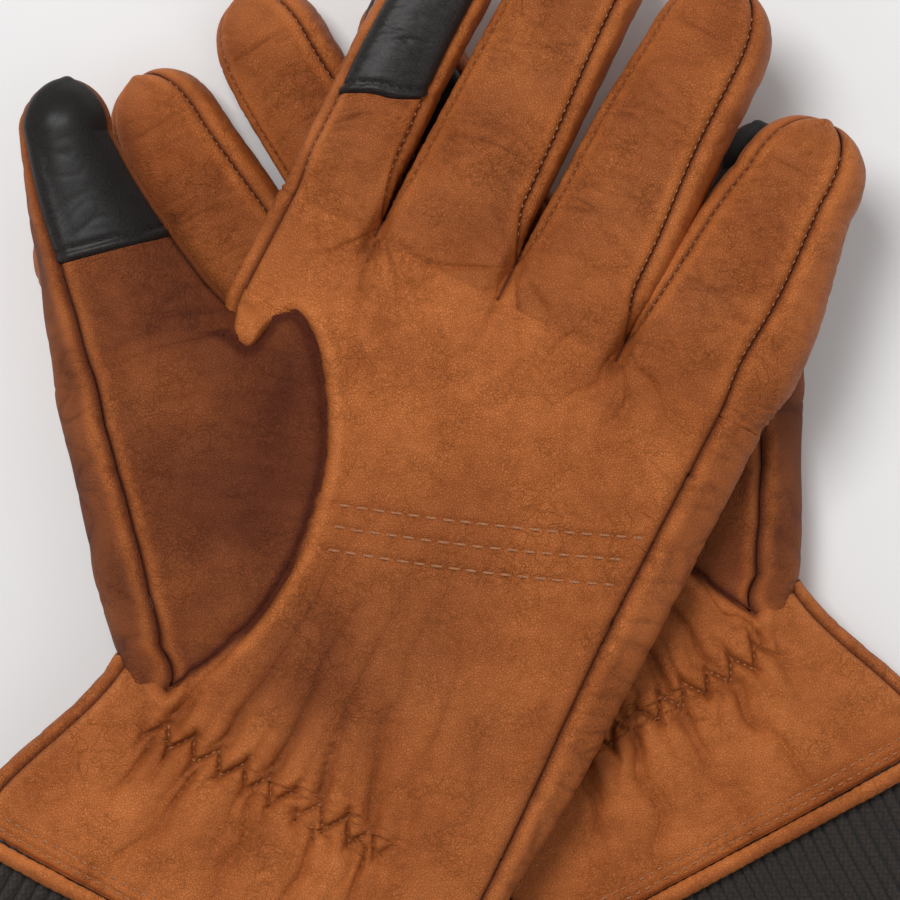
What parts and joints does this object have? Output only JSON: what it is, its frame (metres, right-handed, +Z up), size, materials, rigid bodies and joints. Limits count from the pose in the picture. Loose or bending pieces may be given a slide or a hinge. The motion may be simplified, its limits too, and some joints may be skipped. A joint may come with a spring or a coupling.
{
  "type": "touchscreen gloves",
  "caption": "Pair of lined tan leather gloves with conductive fingertip patches, gathered wrists and rib-knit cuffs, lying crossed with palms up.",
  "frame": {"origin": "on the surface the pair rests on, under the middle of the pair's bounding box", "axes": "+Z up, palms up; fingers of both gloves point towards +Y, the left glove leaning to +X and the right glove to -X"},
  "size_m": [0.2176, 0.2628, 0.0448],
  "materials": {
    "tan_leather": "soft waxed grain",
    "touch_leather": "smooth conductive leather",
    "lining_knit": "brushed knit",
    "cuff_knit": "rib knit",
    "elastic": "woven elastic",
    "thread": "waxed sewing thread"
  },
  "bodies": {
    "left_glove": {"left_cuff_side": "tan_leather", "left_hand_back": "tan_leather", "left_hand_lining": "lining_knit", "left_hem_binding": "tan_leather", "left_index_side": "tan_leather", "left_knit_cuff": "cuff_knit", "left_outer_side": "tan_leather", "left_palm": "tan_leather", "left_thumb_root_back": "tan_leather", "left_thumb_root_front": "tan_leather", "left_thumb_root_side": "tan_leather", "left_vent_gusset": "tan_leather", "left_wrist_elastic": "elastic"},
    "left_index": {"left_index_back": "tan_leather", "left_index_front": "tan_leather", "left_index_gusset": "tan_leather", "left_index_lining": "lining_knit", "left_index_touch_tip": "touch_leather"},
    "left_little": {"left_little_back": "tan_leather", "left_little_front": "tan_leather", "left_little_gusset": "tan_leather", "left_little_lining": "lining_knit"},
    "left_middle": {"left_middle_back": "tan_leather", "left_middle_front": "tan_leather", "left_middle_gusset": "tan_leather", "left_middle_lining": "lining_knit"},
    "left_ring": {"left_ring_back": "tan_leather", "left_ring_front": "tan_leather", "left_ring_gusset": "tan_leather", "left_ring_lining": "lining_knit"},
    "left_thumb": {"left_thumb_back": "tan_leather", "left_thumb_front": "tan_leather", "left_thumb_gusset": "tan_leather", "left_thumb_lining": "lining_knit", "left_thumb_touch_tip": "touch_leather"},
    "right_glove": {"right_cuff_side": "tan_leather", "right_hand_back": "tan_leather", "right_hand_lining": "lining_knit", "right_hem_binding": "tan_leather", "right_index_gusset": "tan_leather", "right_index_side": "tan_leather", "right_index_touch_tip": "touch_leather", "right_knit_cuff": "cuff_knit", "right_little_gusset": "tan_leather", "right_middle_gusset": "tan_leather", "right_outer_side": "tan_leather", "right_palm": "tan_leather", "right_ring_gusset": "tan_leather", "right_thumb_back": "tan_leather", "right_thumb_front": "tan_leather", "right_thumb_gusset": "tan_leather", "right_thumb_lining": "lining_knit", "right_thumb_root_back": "tan_leather", "right_thumb_root_front": "tan_leather", "right_thumb_root_side": "tan_leather", "right_thumb_touch_tip": "touch_leather", "right_vent_gusset": "tan_leather", "right_wrist_elastic": "elastic"}
  },
  "joints": [
    {"name": "left_glove_lift", "type": "slide", "parent": "right_glove", "child": "left_glove", "axis": [0, 0, 1], "range_m": [0, 0.08]},
    {"name": "left_index_bend", "type": "hinge", "parent": "left_glove", "child": "left_index", "pos_m": [-0.02605, 0.07125, 0.0448], "axis": [0.8878, -0.4602, 0], "range_deg": [0, 65]},
    {"name": "left_middle_bend", "type": "hinge", "parent": "left_glove", "child": "left_middle", "pos_m": [-0.00394, 0.05979, 0.0448], "axis": [0.8878, -0.4602, 0], "range_deg": [0, 65]},
    {"name": "left_ring_bend", "type": "hinge", "parent": "left_glove", "child": "left_ring", "pos_m": [0.02074, 0.047, 0.0448], "axis": [0.8878, -0.4602, 0], "range_deg": [0, 65]},
    {"name": "left_little_bend", "type": "hinge", "parent": "left_glove", "child": "left_little", "pos_m": [0.04737, 0.0332, 0.0448], "axis": [0.8878, -0.4602, 0], "range_deg": [0, 65]},
    {"name": "left_thumb_bend", "type": "hinge", "parent": "left_glove", "child": "left_thumb", "pos_m": [-0.06067, 0.03727, 0.0448], "axis": [0.9421, 0.3355, 0], "range_deg": [0, 45]}
  ]
}
